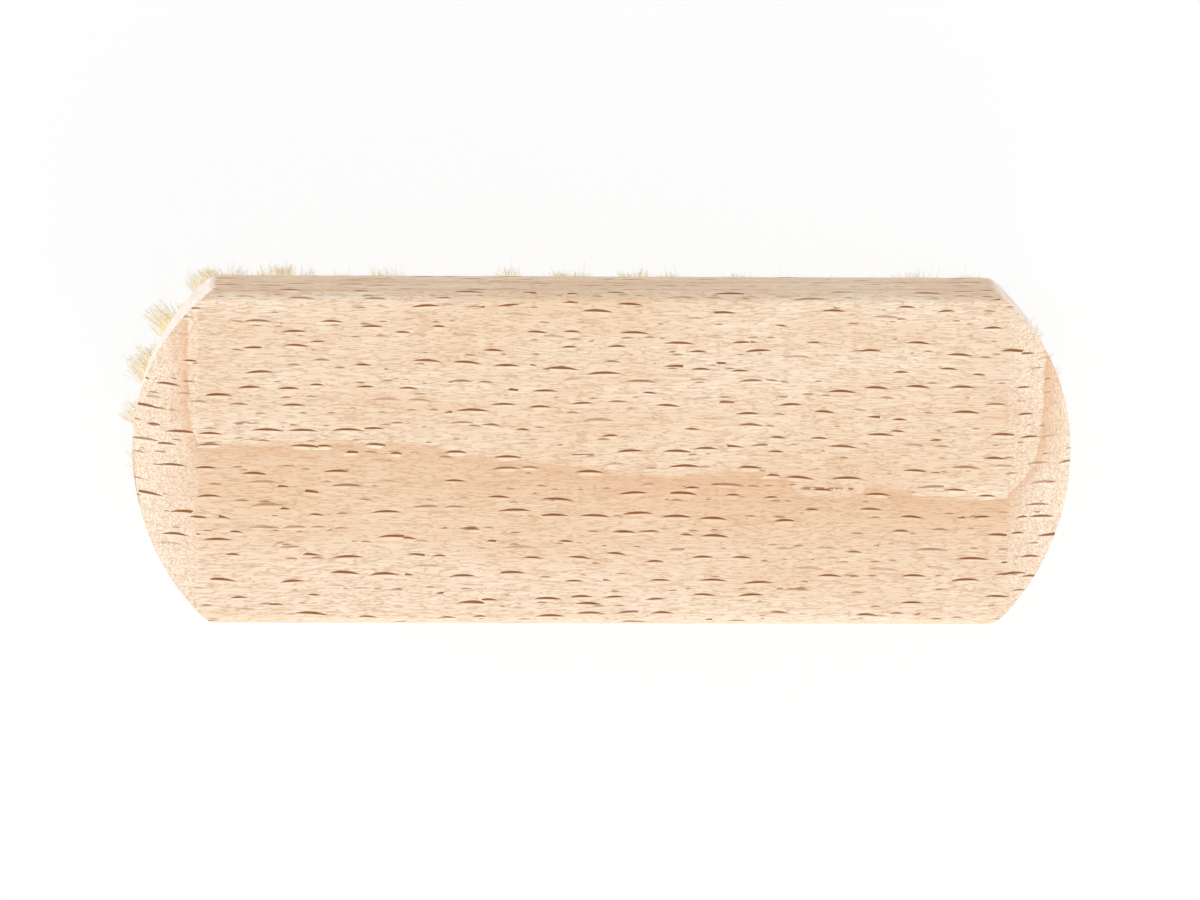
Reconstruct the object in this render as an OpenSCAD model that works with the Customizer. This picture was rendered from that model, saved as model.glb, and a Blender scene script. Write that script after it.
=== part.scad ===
// Shoe shine brush: a raw beech back, drilled from below with blind holes, and bristle tufts that are
// folded over flat wire anchors. The anchors are driven up the holes and bite into the wood.
// The brush stands on its trimmed bristle tips. The origin is the middle of the plane of the tips,
// X runs along the brush and Z up through the back.

/* [Back] */
// Length of the back, from the tip of one end to the tip of the other
back_length = 150; // [130:1:180]
// Width of the back across its straight sides
back_width = 54; // [50:0.5:60]
// Thickness of the back under its flat top
back_thickness = 15; // [14:0.5:20]
// Radius of the round ends, seen from above
end_radius = 35; // [32:0.5:44]
// Radius of the corners between the straight sides and the round ends
corner_radius = 3.3; // [2:0.1:5]
// Radius along the upper long edges
upper_edge_radius = 2; // [1:0.1:3.5]
// Chamfer along the lower long edges
lower_edge_chamfer = 0.6; // [0.3:0.1:1.5]

/* [End bevels] */
// Length of each end bevel along the brush
bevel_length = 10.7; // [8:0.1:14]
// Height of the end wall that is left below the bevel at the tip
end_wall = 8.8; // [7.5:0.1:10.5]
// Radius of the bevel's convex curve
bevel_radius = 30; // [20:1:60]

/* [Tuft holes] */
// Bore of the drilled holes
hole_bore = 4; // [3.6:0.1:4.6]
// Depth of the holes up to the shoulder of the drill point
hole_depth = 9; // [7:0.5:10]
// Height of the cone that the drill point leaves
drill_point = 0.8; // [0.3:0.1:1.2]
// Wood that is left between the outer holes and the edge of the back
hole_margin = 4; // [3:0.5:6]
// Spacing of the holes along a row, which each row rounds to fill its length
tuft_pitch = 9; // [8:0.1:12]

/* [Bristles] */
// Free length of the bristles below the back
bristle_length = 24; // [18:1:32]
// How far the tips of the end tufts lean out past their holes
end_flare = 3.5; // [0:0.5:5]
// How far the tips of the side rows lean out past their holes
side_flare = 1; // [0:0.5:2]
// Width of a strand of bristles where it leaves its hole
strand_root_width = 1.2; // [0.9:0.1:1.2]
// Width of a strand of bristles at its trimmed tip
strand_tip_width = 2.2; // [1.4:0.1:2.4]
// How far a tip may stray from its even place
tip_scatter = 0.4; // [0:0.05:0.5]
// How much of the tips is trimmed away, to leave them flat
tip_trim = 0.5; // [0.2:0.1:1]

/* [Anchors] */
// Thickness of the flat anchor wire
anchor_thickness = 0.4; // [0.3:0.05:0.6]
// Width of the flat anchor wire, up the hole
anchor_width = 1.9; // [1.4:0.1:2.4]
// How far each end of an anchor bites into the wood beside its hole
anchor_bite = 0.35; // [0.2:0.05:0.5]
// Depth of folded bristle between an anchor and the bottom of its hole
fold_depth = 1.3; // [1:0.1:1.6]

/* [Fits] */
// Clearance round a tuft's root in its hole
root_clearance = 0.05; // [0.02:0.01:0.1]
// Clearance round an anchor in the tuft and in the wood
anchor_clearance = 0.03; // [0.01:0.01:0.05]

/* [Hidden] */

row_count = 7;
middle_row = (row_count + 1) / 2;
large_arc_sides = 128;
small_arc_sides = 48;
hole_sides = 32;
// A cut reaches this far past the face that it opens
cut_over = 1;

beech_colour = "#EFD7BB";
bristle_colour = "#F1E6C4";
anchor_colour = "#A9ADB2";

underside = bristle_length;

// A rounding arc reaches this far past the two faces that it joins, so that it crosses them cleanly
arc_poke = 0.05;

// The round ends are arcs about these two points, and each corner arc joins an end to a side
end_centre = back_length / 2 - end_radius;
corner_reach = end_radius - corner_radius + arc_poke;
corner_y = back_width / 2 - corner_radius + arc_poke;
corner_x = end_centre + sqrt(corner_reach * corner_reach - corner_y * corner_y);
corner_angle = atan2(corner_y, corner_x - end_centre);

// The bevel is an arc from its crest on the flat top to the top of the end wall
bevel_start = back_length / 2 - bevel_length;
bevel_drop = back_thickness - end_wall;
bevel_chord = norm([bevel_length, bevel_drop]);
bevel_sink = sqrt(bevel_radius * bevel_radius - bevel_chord * bevel_chord / 4);
bevel_centre_x = bevel_start + bevel_length / 2 - bevel_sink * bevel_drop / bevel_chord;
bevel_centre_z = end_wall + bevel_drop / 2 - bevel_sink * bevel_length / bevel_chord;

// The rows lie evenly between the two outer ones, and each reaches as far as the outline lets it.
// Rows with an odd and an even number of tufts take turns, so that neighbours are staggered.
hole_inset = hole_margin + hole_bore / 2;
row_pitch = (back_width - 2 * hole_inset) / (row_count - 1);

function row_y(row) = (row - middle_row) * row_pitch;

function row_reach(row) = end_centre + sqrt(pow(end_radius - hole_inset, 2) - pow(row_y(row), 2));

function row_odd(row) = (row - middle_row) % 2 == 0 ? 1 : 0;

function row_tufts(row) = 2 * round((2 * row_reach(row) / tuft_pitch + 1 - row_odd(row)) / 2) + row_odd(row);

function row_step(row) = 2 * row_reach(row) / (row_tufts(row) - 1);

function row_places(row) = [for (number = [0 : row_tufts(row) - 1]) number * row_step(row) - row_reach(row)];

// The tips lean out in proportion to their distance from the middle of the brush
lean_x = 1 + end_flare / row_reach(middle_row);
lean_y = 1 + side_flare / row_y(row_count);

// Four strands stand for the bristles of one tuft, and their tips share its space evenly
tuft_strands = 4;
root_radius = hole_bore / 2 - root_clearance;
strand_root_gap = 0.24;
strand_root_offset = (strand_root_width + strand_root_gap) / 2;
strand_embed = 1;
bend_height = 0.45;
bend_share = 0.4;
scatter_seed = 100;

anchor_length = hole_bore + 2 * anchor_bite;
anchor_base = underside + hole_depth - fold_depth - anchor_width;

// Seen from above: straight sides between two round ends
module plan_outline() {
    intersection() {
        square([back_length + 2 * cut_over, back_width], center = true);
        union() {
            square([2 * end_centre, back_width + 2 * cut_over], center = true);
            for (end = [-1, 1]) {
                translate([end * end_centre, 0]) circle(r = end_radius, $fn = large_arc_sides);
            }
        }
    }
}

// Seen from above: what the rounding of one corner takes away
module corner_cut() {
    translate([corner_x, corner_y]) difference() {
        polygon([
            [0, 0],
            2 * corner_radius * [cos(corner_angle), sin(corner_angle)],
            [0, 2 * corner_radius]
        ]);
        circle(r = corner_radius, $fn = small_arc_sides);
    }
}

// Seen from the end, with the underside at height zero: what is taken off the two edges of one long side
module long_edge_cut() {
    round_size = upper_edge_radius + cut_over;
    chamfer_size = lower_edge_chamfer + 2 * cut_over;
    translate([back_width / 2 - upper_edge_radius + arc_poke, back_thickness - upper_edge_radius + arc_poke])
        difference() {
            square(round_size);
            circle(r = upper_edge_radius, $fn = small_arc_sides);
        }
    translate([back_width / 2 + cut_over, -cut_over])
        polygon([[0, 0], [0, chamfer_size], [-chamfer_size, 0]]);
}

// Seen from the side, with the underside at height zero: what the bevel takes off one end
module bevel_cut() {
    translate([bevel_centre_x, bevel_centre_z]) difference() {
        square([
            back_length / 2 + cut_over - bevel_centre_x,
            back_thickness + cut_over - bevel_centre_z
        ]);
        circle(r = bevel_radius, $fn = large_arc_sides);
    }
}

module back_blank() {
    translate([0, 0, underside]) difference() {
        linear_extrude(back_thickness) plan_outline();
        for (end = [0, 1]) {
            mirror([end, 0, 0]) {
                translate([0, back_width / 2 + cut_over, 0])
                    rotate([90, 0, 0]) linear_extrude(back_width + 2 * cut_over) bevel_cut();
                for (side = [0, 1]) {
                    mirror([0, side, 0]) translate([0, 0, -cut_over])
                        linear_extrude(back_thickness + 2 * cut_over) corner_cut();
                }
            }
        }
        for (side = [0, 1]) {
            mirror([0, side, 0]) translate([-back_length / 2 - cut_over, 0, 0])
                rotate([90, 0, 90]) linear_extrude(back_length + 2 * cut_over) long_edge_cut();
        }
    }
}

module tuft_hole() {
    translate([0, 0, underside - cut_over])
        cylinder(h = hole_depth + cut_over, d = hole_bore, $fn = hole_sides);
    translate([0, 0, underside + hole_depth])
        cylinder(h = drill_point, d1 = hole_bore, d2 = 0, $fn = hole_sides);
}

module anchor_blank(clearance) {
    translate([0, 0, anchor_base + anchor_width / 2])
        cube([anchor_thickness, anchor_length, anchor_width] + 2 * clearance * [1, 1, 1], center = true);
}

module back() {
    color(beech_colour) difference() {
        back_blank();
        for (row = [1 : row_count]) {
            for (place = row_places(row)) {
                translate([place, row_y(row), 0]) {
                    tuft_hole();
                    anchor_blank(anchor_clearance);
                }
            }
        }
    }
}

// The bristles in the hole: two bundled legs that meet in a round fold under the anchor
module tuft_root() {
    root_top = underside + hole_depth - root_clearance;
    difference() {
        intersection() {
            translate([0, 0, underside]) cylinder(h = root_top - underside, r = root_radius, $fn = hole_sides);
            translate([0, root_radius + cut_over, 0]) rotate([90, 0, 0])
                linear_extrude(2 * (root_radius + cut_over)) {
                    translate([-root_radius - cut_over, underside])
                        square([2 * (root_radius + cut_over), root_top - root_radius - underside]);
                    translate([0, root_top - root_radius]) circle(r = root_radius, $fn = small_arc_sides);
                }
        }
        anchor_blank(anchor_clearance);
    }
}

function ring(centre, width) = [
    for (corner = [[-1, -1], [1, -1], [1, 1], [-1, 1]])
        [centre.x + corner.x * width / 2, centre.y + corner.y * width / 2, centre.z]
];

// A four-sided strand: it leaves the hole upright, bends outwards and grows wider down to its tip, which
// is cut flat in the plane that the brush stands on
module strand(root, tip) {
    bend_z = underside * (1 - bend_height);
    bend = root + (tip - root) * bend_share;
    bend_width = strand_root_width + (strand_tip_width - strand_root_width) * bend_share;
    kept = bend_z / (bend_z + tip_trim);
    trimmed = bend + (tip - bend) * kept;
    trimmed_width = bend_width + (strand_tip_width - bend_width) * kept;
    points = concat(
        ring([root.x, root.y, underside + strand_embed], strand_root_width),
        ring([bend.x, bend.y, bend_z], bend_width),
        ring([trimmed.x, trimmed.y, 0], trimmed_width)
    );
    sides = [
        for (level = [0, 4])
            for (corner = [0 : 3])
                let (next = (corner + 1) % 4)
                    each [
                        [level + corner, level + next, level + 4 + next],
                        [level + corner, level + 4 + next, level + 4 + corner]
                    ]
    ];
    polyhedron(points = points, faces = concat(sides, [[0, 2, 1], [0, 3, 2], [8, 9, 10], [8, 10, 11]]));
}

module tuft(place, row, number) {
    scatter = rands(-tip_scatter, tip_scatter, 2 * tuft_strands, scatter_seed * row + number);
    translate([place, row_y(row), 0]) tuft_root();
    for (strand_number = [0 : tuft_strands - 1]) {
        along = strand_number < tuft_strands / 2 ? -1 : 1;
        across = strand_number % 2 == 0 ? -1 : 1;
        strand(
            [place + along * strand_root_offset, row_y(row) + across * strand_root_offset],
            [
                lean_x * (place + along * row_step(row) / 4) + scatter[strand_number],
                lean_y * (row_y(row) + across * row_pitch / 4) + scatter[strand_number + tuft_strands]
            ]
        );
    }
}

module tufts_row(row) {
    places = row_places(row);
    color(bristle_colour) {
        for (number = [0 : len(places) - 1]) {
            tuft(places[number], row, number);
        }
    }
}

module anchors_row(row) {
    color(anchor_colour) {
        for (place = row_places(row)) {
            translate([place, row_y(row), 0]) anchor_blank(0);
        }
    }
}

back();
for (row = [1 : row_count]) {
    tufts_row(row);
    anchors_row(row);
}
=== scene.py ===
# Shoe shine brush: a raw beech back filled with tufts of pale natural bristle, standing on its trimmed
# bristle tips and seen from above. Lengths are in metres, and X runs along the brush.
import math

import bpy
import numpy as np
from mathutils import Matrix, Vector


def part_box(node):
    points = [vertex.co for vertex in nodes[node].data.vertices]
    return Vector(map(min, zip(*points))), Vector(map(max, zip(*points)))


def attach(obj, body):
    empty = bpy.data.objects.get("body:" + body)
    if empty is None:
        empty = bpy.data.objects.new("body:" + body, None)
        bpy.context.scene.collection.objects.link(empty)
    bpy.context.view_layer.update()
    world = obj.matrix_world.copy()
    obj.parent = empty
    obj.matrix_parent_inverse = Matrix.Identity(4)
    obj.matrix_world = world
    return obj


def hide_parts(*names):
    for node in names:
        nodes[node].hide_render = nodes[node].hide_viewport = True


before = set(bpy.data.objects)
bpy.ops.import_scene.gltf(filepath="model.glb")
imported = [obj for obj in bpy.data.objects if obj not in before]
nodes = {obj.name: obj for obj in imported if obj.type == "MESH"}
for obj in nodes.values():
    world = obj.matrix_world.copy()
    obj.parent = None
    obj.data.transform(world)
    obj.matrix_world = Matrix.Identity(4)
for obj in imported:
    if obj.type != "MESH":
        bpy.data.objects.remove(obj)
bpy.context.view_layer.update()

# Camera
# It looks down on the flat top from 1.2 m with a long lens, tilted so that the far long side and the left
# end wall just show, as in the photograph.
camera_distance = 1.2
camera_lean = Vector((-0.035, 0.195, 1)).normalized()
camera_roll = math.radians(-0.54)
top_of_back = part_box("back")[1].z
aim = Vector((-0.0006, 0.0015, top_of_back))

camera = bpy.data.objects.new("camera", bpy.data.cameras.new("camera"))
bpy.context.scene.collection.objects.link(camera)
bpy.context.scene.camera = camera
camera.data.lens = 226.5
camera.data.sensor_width = 36
camera.data.clip_start = 0.05
camera.data.clip_end = 20
sideways = Vector((math.sin(camera_roll), math.cos(camera_roll), 0)).cross(camera_lean).normalized()
upwards = camera_lean.cross(sideways)
camera.matrix_world = Matrix.Translation(aim + camera_distance * camera_lean) @ (
    Matrix((sideways, upwards, camera_lean)).transposed().to_4x4()
)

# Back: raw beech
# One flat-sawn block of beech, planed and sanded and left without oil or lacquer. What the eye gets is a
# pale warm ground, short brown ray flecks, fine wavy fibre lines and one growth ring that comes up to the
# top face. All of it is cut from one solid pattern, so that top, sides and ends agree.


def colour(code):
    """sRGB hex to linear, as the shaders want it"""
    parts = [int(code[at:at + 2], 16) / 255 for at in (1, 3, 5)]
    return [part / 12.92 if part <= 0.04045 else ((part + 0.055) / 1.055) ** 2.4 for part in parts] + [1]


def add(tree, kind, inputs=None, **settings):
    """Adds a node, sets it up, links or fills its inputs, and gives its outputs"""
    node = tree.nodes.new(kind)
    for name, value in settings.items():
        setattr(node, name, value)
    for name, value in (inputs or {}).items():
        if isinstance(value, bpy.types.NodeSocket):
            tree.links.new(value, node.inputs[name])
        else:
            node.inputs[name].default_value = value
    return node.outputs


beech = bpy.data.materials.new("raw_beech")
beech.use_nodes = True
wood = beech.node_tree
wood.nodes.clear()

# The pattern is measured in millimetres. Its grain wanders to the sides and up and down, by a millimetre at
# most: slowly along the block, and hardly at all with depth, so that flecks stay level where the end bevels
# cut them. The slice of the noise is the one that bends the ring most like the photograph's.
MM = 1000
wander_length = 45
wander_width = 16
wander_depth = 80
wander_slice = 1.95
wander_reach = (0, 2.4, 1.2)
place = add(wood, "ShaderNodeVectorMath", {
    0: add(wood, "ShaderNodeTexCoord")["Object"], 1: (MM, MM, MM),
}, operation="MULTIPLY")[0]
wander = add(wood, "ShaderNodeTexNoise", {
    "Vector": add(wood, "ShaderNodeVectorMath", {
        0: place, 1: (1 / wander_length, 1 / wander_width, 1 / wander_depth), 2: (0, 0, wander_slice),
    }, operation="MULTIPLY_ADD")[0],
    "Scale": 1, "Detail": 2,
})["Color"]
wander = add(wood, "ShaderNodeVectorMath", {0: wander, 1: (0.5, 0.5, 0.5)}, operation="SUBTRACT")[0]
place = add(wood, "ShaderNodeVectorMath", {
    0: wander, 1: wander_reach, 2: place,
}, operation="MULTIPLY_ADD")[0]
along, across, height = add(wood, "ShaderNodeSeparateXYZ", {0: place})

# How squarely a face cuts the fibres: not at all on the top, by half on the end bevels, fully on the ends.
# Only a face that also stands upright counts as an end.
facing = add(wood, "ShaderNodeSeparateXYZ", {0: add(wood, "ShaderNodeTexCoord")["Normal"]})
squarely = add(wood, "ShaderNodeMath", {0: facing["X"]}, operation="ABSOLUTE")[0]
slanted_cut = add(wood, "ShaderNodeMapRange", {
    "Value": squarely, "From Min": 0.2, "From Max": 0.55,
}, interpolation_type="SMOOTHSTEP")[0]
upright = add(wood, "ShaderNodeMath", {0: facing["Z"]}, operation="ABSOLUTE")[0]
upright = add(wood, "ShaderNodeMath", {0: 1, 1: upright}, operation="SUBTRACT")[0]
end_cut = add(wood, "ShaderNodeMath", {0: squarely, 1: upright}, operation="MULTIPLY")[0]
end_cut = add(wood, "ShaderNodeMapRange", {
    "Value": end_cut, "From Min": 0.15, "From Max": 0.5,
}, interpolation_type="SMOOTHSTEP")[0]
side_cut = add(wood, "ShaderNodeMath", {0: 1, 1: end_cut}, operation="SUBTRACT")[0]

# Rays fan out upwards from the heart of the tree far below, so the long sides cut them at a slant. On the
# end bevels they are drawn level, as the photograph shows them.
ray_lean = 0.028
top = top_of_back * MM
lengthwise_cut = add(wood, "ShaderNodeMath", {0: 1, 1: slanted_cut}, operation="SUBTRACT")[0]
drop = add(wood, "ShaderNodeMath", {0: top, 1: height}, operation="SUBTRACT")[0]
drop = add(wood, "ShaderNodeMath", {0: drop, 1: lengthwise_cut}, operation="MULTIPLY")[0]
fan = add(wood, "ShaderNodeMath", {0: drop, 1: ray_lean, 2: 1}, operation="MULTIPLY_ADD")[0]
fanned = add(wood, "ShaderNodeMath", {0: across, 1: fan}, operation="MULTIPLY")[0]
grain = add(wood, "ShaderNodeCombineXYZ", {0: along, 1: fanned, 2: height})[0]


def ray_flecks(cell, half_lengths, half_thickness, share):
    """Rays that the face cuts across: slender bowed dashes, at most one in each cell of the wood, with
    lengths in millimetres and the share of cells that have one. Gives how strongly a point lies in a dash,
    and in the pale rim on its lower side."""
    bow = 0.1
    rim_below = 0.4
    rim_half_thickness = 0.45
    spot = add(wood, "ShaderNodeVectorMath", {0: grain, 1: cell}, operation="DIVIDE")[0]
    cells = add(wood, "ShaderNodeTexVoronoi", {"Vector": spot, "Scale": 1, "Randomness": 1})
    off = add(wood, "ShaderNodeVectorMath", {0: spot, 1: cells["Position"]}, operation="SUBTRACT")[0]
    off = add(wood, "ShaderNodeVectorMath", {0: off, 1: cell}, operation="MULTIPLY")[0]
    off = add(wood, "ShaderNodeSeparateXYZ", {0: off})
    draw_size, draw_share, draw_tilt = add(wood, "ShaderNodeSeparateColor", {0: cells["Color"]})
    half_length = add(wood, "ShaderNodeMapRange", {
        "Value": draw_size, "To Min": half_lengths[0], "To Max": half_lengths[1],
    })[0]
    reach = add(wood, "ShaderNodeMath", {0: off["X"], 1: half_length}, operation="DIVIDE")[0]
    reach = add(wood, "ShaderNodeMath", {0: reach, 1: reach}, operation="MULTIPLY")[0]
    belly = add(wood, "ShaderNodeMath", {0: 1, 1: reach}, operation="SUBTRACT", use_clamp=True)[0]
    tilt = add(wood, "ShaderNodeMapRange", {"Value": draw_tilt, "To Min": -0.03, "To Max": 0.07})[0]
    level = add(wood, "ShaderNodeMath", {0: off["X"], 1: tilt, 2: off["Y"]}, operation="MULTIPLY_ADD")[0]
    arch = add(wood, "ShaderNodeMath", {0: half_length, 1: belly}, operation="MULTIPLY")[0]
    level = add(wood, "ShaderNodeMath", {0: arch, 1: -bow, 2: level}, operation="MULTIPLY_ADD")[0]
    thickness = add(wood, "ShaderNodeMapRange", {
        "Value": draw_size, "To Min": 0.7 * half_thickness, "To Max": half_thickness,
    })[0]
    wall = add(wood, "ShaderNodeMath", {0: belly, 1: thickness}, operation="MULTIPLY")[0]
    apart = add(wood, "ShaderNodeMath", {0: level}, operation="ABSOLUTE")[0]
    inside = add(wood, "ShaderNodeMath", {0: wall, 1: apart}, operation="SUBTRACT")[0]
    dash = add(wood, "ShaderNodeMapRange", {
        "Value": inside, "From Min": -0.05, "From Max": 0.07,
    }, interpolation_type="SMOOTHSTEP")[0]
    shown = add(wood, "ShaderNodeMapRange", {
        "Value": draw_share, "From Min": share, "From Max": share * 0.6,
    })[0]
    shown = add(wood, "ShaderNodeMath", {0: shown, 1: side_cut}, operation="MULTIPLY")[0]
    dash = add(wood, "ShaderNodeMath", {0: dash, 1: shown}, operation="MULTIPLY")[0]
    rim_level = add(wood, "ShaderNodeMath", {0: level, 1: rim_below}, operation="ADD")[0]
    rim_level = add(wood, "ShaderNodeMath", {0: rim_level}, operation="ABSOLUTE")[0]
    rim = add(wood, "ShaderNodeMath", {0: belly, 1: rim_half_thickness}, operation="MULTIPLY")[0]
    rim = add(wood, "ShaderNodeMath", {0: rim, 1: rim_level}, operation="SUBTRACT")[0]
    rim = add(wood, "ShaderNodeMapRange", {"Value": rim, "From Max": 0.3}, interpolation_type="SMOOTHSTEP")[0]
    rim = add(wood, "ShaderNodeMath", {0: rim, 1: shown}, operation="MULTIPLY")[0]
    return dash, rim


long_dash, long_rim = ray_flecks((6.6, 3.4, 26), (1.1, 3.0), 0.23, 0.95)
short_dash = ray_flecks((4.1, 2.4, 15), (0.5, 1.3), 0.15, 0.5)[0]

# The growth ring comes up to the top face along a line that drops slowly from left to right. Beyond that
# line it lies just under the face, deeper to the right, and there the end bevels cut through it. Before it
# the ring is planed away. At the end of this part, above says how far over the ring a point lies.
line_slope = -0.0655
line_middle = -0.7
sinks_within = 5
depth_slope = 0.0158
depth_middle = 1.59
rises_within = 12
planed_away = 2.2
ripple_size = (5, 2, 3)
ripple_height = 0.4
fleck_dip = 0.4
ring_line = add(wood, "ShaderNodeMath", {
    0: along, 1: line_slope, 2: line_middle,
}, operation="MULTIPLY_ADD")[0]
past_line = add(wood, "ShaderNodeMath", {0: across, 1: ring_line}, operation="SUBTRACT")[0]
past = add(wood, "ShaderNodeMath", {0: past_line, 1: 0}, operation="MAXIMUM")[0]
past = add(wood, "ShaderNodeMath", {0: past, 1: -sinks_within}, operation="DIVIDE")[0]
past = add(wood, "ShaderNodeMath", {0: past}, operation="EXPONENT")[0]
past = add(wood, "ShaderNodeMath", {0: 1, 1: past}, operation="SUBTRACT")[0]
depth = add(wood, "ShaderNodeMath", {
    0: along, 1: depth_slope, 2: depth_middle,
}, operation="MULTIPLY_ADD")[0]
sunk = add(wood, "ShaderNodeMath", {0: past, 1: depth}, operation="MULTIPLY")[0]
before = add(wood, "ShaderNodeMath", {0: past_line, 1: 0}, operation="MINIMUM")[0]
before = add(wood, "ShaderNodeMath", {0: before, 1: rises_within}, operation="DIVIDE")[0]
before = add(wood, "ShaderNodeMath", {0: before}, operation="EXPONENT")[0]
raised = add(wood, "ShaderNodeMath", {
    0: before, 1: -planed_away, 2: planed_away,
}, operation="MULTIPLY_ADD")[0]
lift = add(wood, "ShaderNodeMath", {0: sunk, 1: raised}, operation="SUBTRACT")[0]
above = add(wood, "ShaderNodeMath", {0: height, 1: lift}, operation="ADD")[0]
above = add(wood, "ShaderNodeMath", {0: above, 1: top}, operation="SUBTRACT")[0]
ripple = add(wood, "ShaderNodeTexNoise", {
    "Vector": add(wood, "ShaderNodeVectorMath", {0: grain, 1: ripple_size}, operation="DIVIDE")[0],
    "Scale": 1, "Detail": 3,
})[0]
above = add(wood, "ShaderNodeMath", {0: ripple, 1: ripple_height, 2: above}, operation="MULTIPLY_ADD")[0]
above = add(wood, "ShaderNodeMath", {0: above, 1: ripple_height / 2}, operation="SUBTRACT")[0]
above = add(wood, "ShaderNodeMath", {0: long_rim, 1: fleck_dip, 2: above}, operation="MULTIPLY_ADD")[0]

# One broad ray dips the ring by more than the others, right of the middle: a pale eye with a broken fleck
eye_middle = (35.8, -4.7, 0)
eye_half_length = 6.2
eye_half_width = 2
eye_dip = 0.9
dash_half_length = 4.6
dash_half_width = 0.28
gap_size = (0.9, 0.5, 9)
eye = add(wood, "ShaderNodeVectorMath", {0: grain, 1: eye_middle}, operation="SUBTRACT")[0]
from_middle = add(wood, "ShaderNodeSeparateXYZ", {0: eye})
eye = add(wood, "ShaderNodeVectorMath", {
    0: eye, 1: (1 / eye_half_length, 1 / eye_half_width, 0),
}, operation="MULTIPLY")[0]
eye = add(wood, "ShaderNodeVectorMath", {0: eye}, operation="LENGTH")["Value"]
eye_dash = add(wood, "ShaderNodeMath", {0: from_middle["X"], 1: dash_half_length}, operation="DIVIDE")[0]
eye_dash = add(wood, "ShaderNodeMath", {0: eye_dash}, operation="ABSOLUTE")[0]
eye_dash = add(wood, "ShaderNodeMapRange", {
    "Value": eye_dash, "From Min": 1, "From Max": 0.8, "To Max": dash_half_width,
})[0]
aside = add(wood, "ShaderNodeMath", {0: from_middle["Y"]}, operation="ABSOLUTE")[0]
eye_dash = add(wood, "ShaderNodeMath", {0: eye_dash, 1: aside}, operation="SUBTRACT")[0]
eye_dash = add(wood, "ShaderNodeMapRange", {
    "Value": eye_dash, "From Min": -0.02, "From Max": 0.1,
}, interpolation_type="SMOOTHSTEP")[0]
broken = add(wood, "ShaderNodeTexNoise", {
    "Vector": add(wood, "ShaderNodeVectorMath", {0: grain, 1: gap_size}, operation="DIVIDE")[0],
    "Scale": 1, "Detail": 1,
})[0]
broken = add(wood, "ShaderNodeMapRange", {"Value": broken, "From Min": 0.42, "From Max": 0.52})[0]
eye_dash = add(wood, "ShaderNodeMath", {0: eye_dash, 1: broken}, operation="MULTIPLY")[0]
eye = add(wood, "ShaderNodeMapRange", {
    "Value": eye, "From Min": 1, "From Max": 0.75,
}, interpolation_type="SMOOTHSTEP")[0]
above = add(wood, "ShaderNodeMath", {0: eye, 1: eye_dip, 2: above}, operation="MULTIPLY_ADD")[0]

# One year of growth is several millimetres wide. The dark late wood that ends it fades within a millimetre,
# and more slowly beyond the line at the right end.
year = 6.8
right_end_start = 45
near_right_end = add(wood, "ShaderNodeMath", {0: along, 1: right_end_start}, operation="SUBTRACT")[0]
near_right_end = add(wood, "ShaderNodeMath", {0: near_right_end, 1: past_line}, operation="MINIMUM")[0]
late_wood = add(wood, "ShaderNodeMapRange", {
    "Value": near_right_end, "From Min": 0, "From Max": 12, "To Min": 0.85, "To Max": 1.7,
})[0]
phase = add(wood, "ShaderNodeMath", {0: above, 1: year}, operation="DIVIDE")[0]
phase = add(wood, "ShaderNodeMath", {0: phase}, operation="FRACT")[0]
late = add(wood, "ShaderNodeMath", {0: phase, 1: 1}, operation="SUBTRACT")[0]
late = add(wood, "ShaderNodeMath", {0: late, 1: year}, operation="MULTIPLY")[0]
late = add(wood, "ShaderNodeMath", {0: late, 1: late_wood}, operation="DIVIDE")[0]
late = add(wood, "ShaderNodeMath", {0: late}, operation="EXPONENT")[0]
ring_edge = add(wood, "ShaderNodeMapRange", {
    "Value": phase, "From Min": 1, "From Max": 0.965,
}, interpolation_type="SMOOTHSTEP")[0]
late = add(wood, "ShaderNodeMath", {0: late, 1: ring_edge}, operation="MULTIPLY")[0]

# Fibre lines, the contours of a stretched noise, and specks of pores. Single fibres and pores are finer than
# a tenth of a millimetre, so both are drawn in bundles, as coarse as they show in the photograph.
fibre_size = (3.6, 0.42, 0.42)
pore_size = (2.3, 0.21, 0.21)
patch_size = (30, 7, 7)
fibre = add(wood, "ShaderNodeTexNoise", {
    "Vector": add(wood, "ShaderNodeVectorMath", {0: grain, 1: fibre_size}, operation="DIVIDE")[0],
    "Scale": 1, "Detail": 2,
})[0]
contour = add(wood, "ShaderNodeMath", {0: fibre, 1: 0.5}, operation="SUBTRACT")[0]
contour = add(wood, "ShaderNodeMath", {0: contour}, operation="ABSOLUTE")[0]
fibre_line = add(wood, "ShaderNodeMapRange", {
    "Value": contour, "From Min": 0.06, "From Max": 0.01,
}, interpolation_type="SMOOTHSTEP")[0]
fine = add(wood, "ShaderNodeTexNoise", {
    "Vector": add(wood, "ShaderNodeVectorMath", {0: grain, 1: pore_size}, operation="DIVIDE")[0],
    "Scale": 1, "Detail": 2,
})[0]
patch = add(wood, "ShaderNodeTexNoise", {
    "Vector": add(wood, "ShaderNodeVectorMath", {0: grain, 1: patch_size}, operation="DIVIDE")[0],
    "Scale": 1, "Detail": 2,
})[0]

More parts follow.
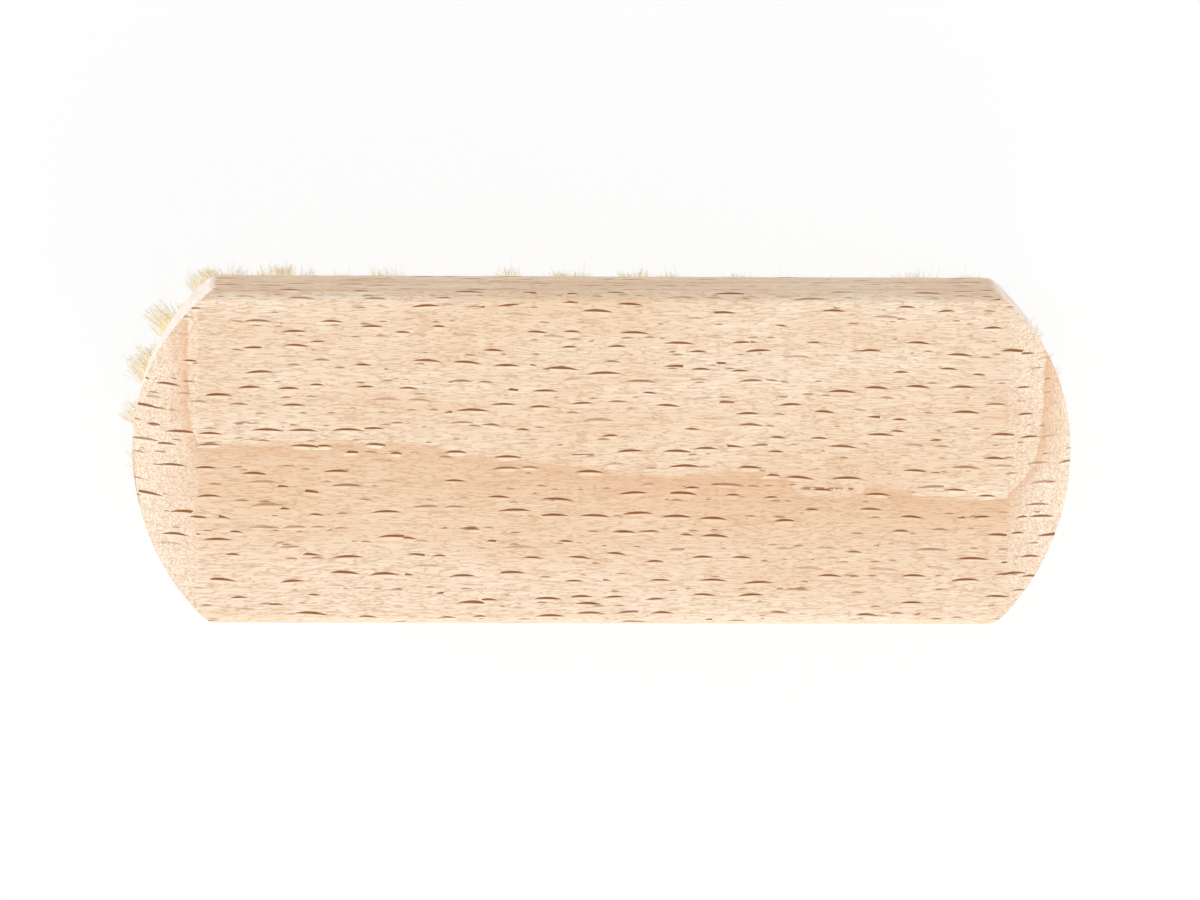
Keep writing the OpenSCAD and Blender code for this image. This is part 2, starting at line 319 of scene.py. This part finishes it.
# Cut ends of the fibres: fine lines across the grain on the bevels, and thin upright rays on the ends. Both
# are drawn in bundles too.
cut_fibre_size = (0.5, 2.2, 2.2)
cut_ray_size = (2, 0.45, 7)
hatch = add(wood, "ShaderNodeTexNoise", {
    "Vector": add(wood, "ShaderNodeVectorMath", {0: grain, 1: cut_fibre_size}, operation="DIVIDE")[0],
    "Scale": 1, "Detail": 2,
})[0]
hatch = add(wood, "ShaderNodeMath", {0: hatch, 1: 0.5}, operation="SUBTRACT")[0]
hatch = add(wood, "ShaderNodeMath", {0: hatch}, operation="ABSOLUTE")[0]
hatch = add(wood, "ShaderNodeMapRange", {
    "Value": hatch, "From Min": 0.06, "From Max": 0.01,
}, interpolation_type="SMOOTHSTEP")[0]
hatch = add(wood, "ShaderNodeMath", {0: hatch, 1: slanted_cut}, operation="MULTIPLY")[0]
thin_rays = add(wood, "ShaderNodeTexNoise", {
    "Vector": add(wood, "ShaderNodeVectorMath", {0: grain, 1: cut_ray_size}, operation="DIVIDE")[0],
    "Scale": 1, "Detail": 2,
})[0]
thin_rays = add(wood, "ShaderNodeMapRange", {"Value": thin_rays, "From Min": 0.5, "From Max": 0.62})[0]
thin_rays = add(wood, "ShaderNodeMath", {0: thin_rays, 1: end_cut}, operation="MULTIPLY")[0]

# The ground is paler or darker in long patches. Each coat of colour then goes over it as far as its part of
# the pattern and its strength say, the flecks last. The pale coats on the end bevels and on the ends are
# painted light, not the wood's own colour.
patch = add(wood, "ShaderNodeMapRange", {"Value": patch, "From Min": 0.35, "From Max": 0.65})[0]
near_edge = add(wood, "ShaderNodeMapRange", {
    "Value": past_line, "From Min": -13, "From Max": -23,
}, interpolation_type="SMOOTHSTEP")[0]
speckle = add(wood, "ShaderNodeMapRange", {"Value": fine, "From Min": 0.38, "From Max": 0.66})[0]
paint = colour("#F3E3CB")
for amount, strength, code in (
    (patch, 1, "#EBD1B3"),
    (near_edge, 0.5, "#FCF0DC"),
    # Painted highlight: the end bevels are painted paler, for the light they catch
    (slanted_cut, 0.55, "#FBF4E2"),
    (late, 0.88, "#DBA981"),
    (speckle, 0.5, "#E0BE9A"),
    (fibre_line, 0.6, "#C89F79"),
    (hatch, 0.3, "#BC9069"),
    # Painted sheen: the upright ends are painted nearly white, for the light their smooth end grain gives
    # back at a slant
    (end_cut, 0.55, "#F9F0EA"),
    (thin_rays, 0.3, "#CFAE8C"),
    (long_rim, 0.3, "#FDEBD4"),
    (eye_dash, 0.8, "#996432"),
    (short_dash, 0.75, "#935D28"),
    (long_dash, 0.95, "#874B13"),
):
    shade = add(wood, "ShaderNodeMath", {0: amount, 1: strength}, operation="MULTIPLY")[0]
    paint = add(wood, "ShaderNodeMix", {0: shade, 6: paint, 7: colour(code)}, data_type="RGBA")[2]

# Sanding leaves a faint relief of the fibres
bump = add(wood, "ShaderNodeMath", {0: fine, 1: fibre}, operation="ADD")[0]
bump = add(wood, "ShaderNodeBump", {"Strength": 0.25, "Distance": 0.0001, "Height": bump})[0]
shader = add(wood, "ShaderNodeBsdfPrincipled", {
    "Base Color": paint, "Roughness": 0.62, "Normal": bump, "Specular IOR Level": 0.3,
})[0]
add(wood, "ShaderNodeOutputMaterial", {"Surface": shader})
nodes["back"].material_slots[0].material = beech

# Anchors: flat steel wire
# Short cut lengths of drawn and flattened wire. Each holds the fold of one tuft in its hole and bites into
# the wood on both sides, so they only show if the brush is taken apart.
anchor_metal = bpy.data.materials.new("drawn_steel_wire")
anchor_metal.use_nodes = True
wire = anchor_metal.node_tree
wire.nodes.clear()

# Drawing leaves fine lines along the wire, and its shine changes from line to line
draw_line_width = 0.03
draw_line_length = 0.8
drawn = add(wire, "ShaderNodeVectorMath", {
    0: add(wire, "ShaderNodeTexCoord")["Object"],
    1: (MM / draw_line_width, MM / draw_line_length, MM / draw_line_width),
}, operation="MULTIPLY")[0]
drawn = add(wire, "ShaderNodeTexNoise", {"Vector": drawn, "Scale": 1, "Detail": 2})[0]
shine = add(wire, "ShaderNodeMapRange", {"Value": drawn, "To Min": 0.28, "To Max": 0.46})[0]
paint = add(wire, "ShaderNodeMix", {
    0: drawn, 6: colour("#A3A7AB"), 7: colour("#BFC2C4"),
}, data_type="RGBA")[2]
dents = add(wire, "ShaderNodeBump", {"Strength": 0.2, "Distance": 0.00002, "Height": drawn})[0]
shader = add(wire, "ShaderNodeBsdfPrincipled", {
    "Base Color": paint, "Metallic": 1, "Roughness": shine, "Normal": dents,
})[0]
add(wire, "ShaderNodeOutputMaterial", {"Surface": shader})
rows = range(1, 8)
for row in rows:
    nodes[f"anchors_row_{row}"].material_slots[0].material = anchor_metal

# Bristles: natural hair
# Undyed animal hair, a few hundred to a tuft, folded into the holes and trimmed flat. What the eye gets is
# pale cream with single yellow and olive hairs, in loose locks that fan out at the ends of the brush. A hair
# is about a tenth of a millimetre thick at its root and thins out to its tip.
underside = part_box("back")[0].z
bristle_width = 0.0001
bristle_rings = 4
taper = 0.8

# One straight bristle, three-sided and thinner towards its tip, drawn downwards by a length of one
bpy.ops.object.select_all(action="DESELECT")
bpy.ops.mesh.primitive_circle_add(vertices=3, radius=bristle_width / 2, fill_type="NGON")
bristle = bpy.context.active_object
bristle.name = "single_bristle"
bpy.ops.object.mode_set(mode="EDIT")
for ring in range(1, bristle_rings):
    bpy.ops.mesh.extrude_region_move(TRANSFORM_OT_translate={"value": (0, 0, -1 / (bristle_rings - 1))})
    bpy.ops.transform.resize(value=(taper, taper, 1), center_override=(0, 0, 0))
bpy.ops.mesh.select_all(action="SELECT")
bpy.ops.mesh.quads_convert_to_tris()
bpy.ops.mesh.normals_make_consistent(inside=False)
bpy.ops.object.mode_set(mode="OBJECT")
bristle_points = np.array([point.co for point in bristle.data.vertices])
bristle_faces = np.array([face.vertices for face in bristle.data.polygons])
bpy.data.objects.remove(bristle)

# Each bristle has one shade from cream to olive, and is a little bleached towards its tip
hair = bpy.data.materials.new("natural_bristle")
hair.use_nodes = True
fur = hair.node_tree
fur.nodes.clear()
shade = add(fur, "ShaderNodeAttribute", attribute_name="hair_shade")["Fac"]
ramp = fur.nodes.new("ShaderNodeValToRGB")
stops = (
    (0, "#FFF9E3"), (0.4, "#FDF1CE"), (0.7, "#F8E4B4"), (0.87, "#EDCF90"), (0.95, "#C9B47A"), (1, "#887C55"),
)
for number, (position, code) in enumerate(stops):
    stop = ramp.color_ramp.elements[number] if number < 2 else ramp.color_ramp.elements.new(position)
    stop.position = position
    stop.color = colour(code)
fur.links.new(shade, ramp.inputs[0])
along_hair = add(fur, "ShaderNodeAttribute", attribute_name="hair_length")["Fac"]
bleach = add(fur, "ShaderNodeMapRange", {
    "Value": along_hair, "From Min": 0.55, "From Max": 1, "To Max": 0.15,
})[0]
paint = add(fur, "ShaderNodeMix", {0: bleach, 6: ramp.outputs[0], 7: colour("#FFF9EA")}, data_type="RGBA")[2]

# The weak glow stands for light that pale hairs pass on inside a tuft, and that is lost between solid prisms
shader = add(fur, "ShaderNodeBsdfPrincipled", {
    "Base Color": paint, "Roughness": 0.4, "Specular IOR Level": 0.45,
    "Sheen Weight": 0.35, "Sheen Roughness": 0.4, "Sheen Tint": colour("#FFEBC4"),
    "Emission Color": paint, "Emission Strength": 0.2,
})[0]
add(fur, "ShaderNodeOutputMaterial", {"Surface": shader})

# The hairs of a tuft fill their hole, a little closer in its middle. They start in it at a set depth, bend
# outwards from its mouth on, and are drawn a little towards the middles of a few loose locks.
hairs_in_tuft = 560
locks_in_tuft = 7
into_locks = 0.28
hole_radius = 0.00185
crowding = 0.65
rooted = 0.003
hole_mouth = rooted / (rooted + underside)
bending = 1.15
waviness = 0.00022
sway_lost_at_tip = 0.3

# Their tips spread over the tuft's own part of the underside and a little past it, but hardly past the outer
# rows. Single hairs, locks and whole tufts stray from there, a few hairs more than the others.
spread_along = 1.12
spread_across = 1.05
spread_outside = 0.42
hair_stray = 0.0005
lock_stray = 0.0005
tuft_stray = 0.0003
calm = 0.7
wild = 1.8
wild_share = 0.15

# Past a set place along the brush all tips lean away from its middle, fully after some reach, and most in the
# middle rows
end_start = 0.04
end_reach = 0.028
end_lean = 0.0034
aside_at_end = 0.45
lean_of_middle_row = 1.35
lean_lost_at_sides = 0.5

# The rows also lean outwards, most of all a little left of the brush's middle, but not near the right end,
# where the photograph shows hardly any tips past the wood. All tips lean a little to the left.
side_lean = 0.0011
side_lean_fall = 0.2
side_lean_peak = -0.02
lean_left = 0.0004

# Trimmed flat, but for a few hairs that end higher up
uneven_trim = 0.00025
missed_share = 0.06
missed_by = 0.003
shuffle = np.random.default_rng(31)
level = -bristle_points[:, 2]


def tuft_places(row):
    """The tufts of a row stand where its anchors lie"""
    edges = sorted({round(point.co.x, 5) for point in nodes[f"anchors_row_{row}"].data.vertices})
    low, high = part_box(f"anchors_row_{row}")
    return [(left + right) / 2 for left, right in zip(edges[::2], edges[1::2])], (low.y + high.y) / 2


outer_y = max(abs(tuft_places(row)[1]) for row in rows)


def grow_tuft(x, y, half_step, half_pitch, outward):
    """Points of all the hairs of one tuft, each bent from its root in the hole to its trimmed tip"""
    turn = shuffle.uniform(0, 2 * math.pi, hairs_in_tuft)
    out = shuffle.uniform(0, 1, hairs_in_tuft) ** crowding
    disc = np.stack([out * np.cos(turn), out * np.sin(turn)], 1)
    lock_turn = shuffle.uniform(0, 2 * math.pi, locks_in_tuft)
    lock_out = np.sqrt(shuffle.uniform(0, 1, locks_in_tuft))
    lock_disc = np.stack([lock_out * np.cos(lock_turn), lock_out * np.sin(lock_turn)], 1)
    lock = np.linalg.norm(disc[:, None] - lock_disc[None], axis=2).argmin(1)
    gathered = disc + into_locks * (lock_disc[lock] - disc)
    spread = np.stack([
        np.full(hairs_in_tuft, spread_along * half_step),
        np.where(gathered[:, 1] * outward > 0, spread_outside, spread_across) * half_pitch,
    ], 1)
    root = np.array([x, y]) + hole_radius * disc

    into_end = max(abs(x) - end_start, 0)
    outwards = np.array([math.copysign(into_end, x), aside_at_end * y])
    leaning = end_lean * min(into_end / end_reach, 1) * (
        lean_of_middle_row - lean_lost_at_sides * abs(y) / outer_y
    )
    side_leaning = (side_lean - side_lean_fall * (x - side_lean_peak) ** 2) * y / outer_y
    tip = np.array([x, y]) + leaning * outwards / max(np.linalg.norm(outwards), 1e-6)
    tip = tip + np.array([-lean_left, side_leaning]) + spread * gathered
    wildness = shuffle.choice((calm, wild), (hairs_in_tuft, 1), p=(1 - wild_share, wild_share))
    tip += shuffle.normal(0, hair_stray, (hairs_in_tuft, 2)) * wildness
    tip += shuffle.normal(0, lock_stray, (locks_in_tuft, 2))[lock]
    tip += shuffle.normal(0, tuft_stray, 2)

    tip_height = np.abs(shuffle.normal(0, uneven_trim, hairs_in_tuft))
    missed = shuffle.uniform(0, 1, hairs_in_tuft) < missed_share
    tip_height[missed] += shuffle.uniform(0, missed_by, missed.sum())
    start_height = underside + rooted
    wave = shuffle.normal(0, waviness, (hairs_in_tuft, 2))
    path = np.empty((hairs_in_tuft, len(level), 3))
    for number, along in enumerate(level):
        bend = (max(along - hole_mouth, 0) / (1 - hole_mouth)) ** bending
        sway = np.sin(math.pi * along) * (1 - along * sway_lost_at_tip)
        path[:, number, :2] = root + (tip - root) * bend + wave * sway
        path[:, number, 2] = start_height + (tip_height - start_height) * along

    # Each hair is turned round its own length, has its own thickness, and is more often pale than dark
    twist = shuffle.uniform(0, 2 * math.pi, hairs_in_tuft)
    girth = shuffle.uniform(0.75, 1.2, hairs_in_tuft)
    turned_x = np.cos(twist)[:, None] * bristle_points[:, 0] - np.sin(twist)[:, None] * bristle_points[:, 1]
    turned_y = np.sin(twist)[:, None] * bristle_points[:, 0] + np.cos(twist)[:, None] * bristle_points[:, 1]
    path[:, :, 0] += girth[:, None] * turned_x
    path[:, :, 1] += girth[:, None] * turned_y
    shade = shuffle.beta(1.2, 2.1, hairs_in_tuft)
    return path, shade


for row in rows:
    places, y = tuft_places(row)
    half_step = (places[1] - places[0]) / 2
    half_pitch = outer_y / (len(rows) - 1)
    outward = math.copysign(1, y) if math.isclose(abs(y), outer_y, rel_tol=0.01) else 0
    paths, shades = zip(*[grow_tuft(x, y, half_step, half_pitch, outward) for x in places])
    points = np.concatenate(paths)
    shades = np.concatenate(shades)
    hairs = len(points)
    faces = (bristle_faces[None] + len(bristle_points) * np.arange(hairs)[:, None, None]).reshape(-1)
    mesh = bpy.data.meshes.new(f"bristles_row_{row}")
    mesh.vertices.add(hairs * len(bristle_points))
    mesh.vertices.foreach_set("co", points.reshape(-1))
    mesh.loops.add(len(faces))
    mesh.loops.foreach_set("vertex_index", faces)
    mesh.polygons.add(len(faces) // 3)
    mesh.polygons.foreach_set("loop_start", np.arange(0, len(faces), 3))
    mesh.update(calc_edges=True)
    mesh.validate()
    point_values = {"hair_shade": np.repeat(shades, len(level)), "hair_length": np.tile(level, hairs)}
    for name, values in point_values.items():
        mesh.attributes.new(name, "FLOAT", "POINT").data.foreach_set("value", values)
    mesh.materials.append(hair)
    tufts = bpy.data.objects.new(f"bristles_row_{row}", mesh)
    bpy.context.scene.collection.objects.link(tufts)
    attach(tufts, "root")
    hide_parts(f"tufts_row_{row}")

# Floor and light
# A wide white table and an even white surround, with large soft lamps: one over the near side, one low at
# each end and a weak one on the far side, which stays the darkest as in the photograph.
bpy.ops.mesh.primitive_circle_add(vertices=96, radius=4, fill_type="NGON")
floor = bpy.context.active_object
floor.name = "floor"
paper = bpy.data.materials.new("white_table")
paper.use_nodes = True
sheet = paper.node_tree
sheet.nodes.clear()

# To the camera the table is nearly pure white and keeps the brush's shadow. To all else it is plain paper.
# From below it is clear.
glow_share = 0.92
seen = add(sheet, "ShaderNodeLightPath")["Is Camera Ray"]
lit = add(sheet, "ShaderNodeBsdfDiffuse", {"Color": colour("#F2F2F2")})[0]
glow = add(sheet, "ShaderNodeEmission", {"Strength": 1})[0]
shade = add(sheet, "ShaderNodeMath", {0: seen, 1: glow_share}, operation="MULTIPLY")[0]
lit = add(sheet, "ShaderNodeMixShader", {0: shade, 1: lit, 2: glow})[0]
behind = add(sheet, "ShaderNodeNewGeometry")["Backfacing"]
clear = add(sheet, "ShaderNodeBsdfTransparent")[0]
add(sheet, "ShaderNodeOutputMaterial", {
    "Surface": add(sheet, "ShaderNodeMixShader", {0: behind, 1: lit, 2: clear})[0],
})
floor.data.materials.append(paper)

surround = bpy.data.worlds.new("white_surround")
bpy.context.scene.world = surround
surround.use_nodes = True
sky = surround.node_tree
sky.nodes.clear()

# White to the camera and in reflections, and a plain level of light on everything
surround_level = 0.72
rays = add(sky, "ShaderNodeLightPath")
seen = add(sky, "ShaderNodeMath", {
    0: rays["Is Camera Ray"], 1: rays["Is Glossy Ray"],
}, operation="MAXIMUM")[0]
strength = add(sky, "ShaderNodeMapRange", {"Value": seen, "To Min": surround_level, "To Max": 1})[0]
add(sky, "ShaderNodeOutputWorld", {"Surface": add(sky, "ShaderNodeBackground", {"Strength": strength})[0]})


def lamp(name, place, size, power, tint):
    """A square soft lamp that faces the brush"""
    light = bpy.data.lights.new(name, "AREA")
    light.size = size
    light.energy = power
    light.color = colour(tint)[:3]
    holder = bpy.data.objects.new(name, light)
    bpy.context.scene.collection.objects.link(holder)
    holder.location = place
    holder.rotation_euler = (aim - Vector(place)).to_track_quat("-Z", "Y").to_euler()


lamp("near_side_lamp", (0.25, -1.1, 0.9), 0.9, 11, "#FFFAF4")
lamp("left_lamp", (-1.3, 0.3, 0.45), 0.7, 11, "#F4F5FF")
lamp("right_lamp", (1.4, -0.3, 0.5), 0.7, 9, "#F4F5FF")
lamp("far_lamp", (-0.2, 1.3, 0.6), 0.9, 1.4, "#FFFFFF")

# Pale hair passes light on from bristle to bristle, more often than Blender's usual four times
bpy.context.scene.cycles.diffuse_bounces = 12
bpy.context.scene.view_settings.view_transform = "Standard"
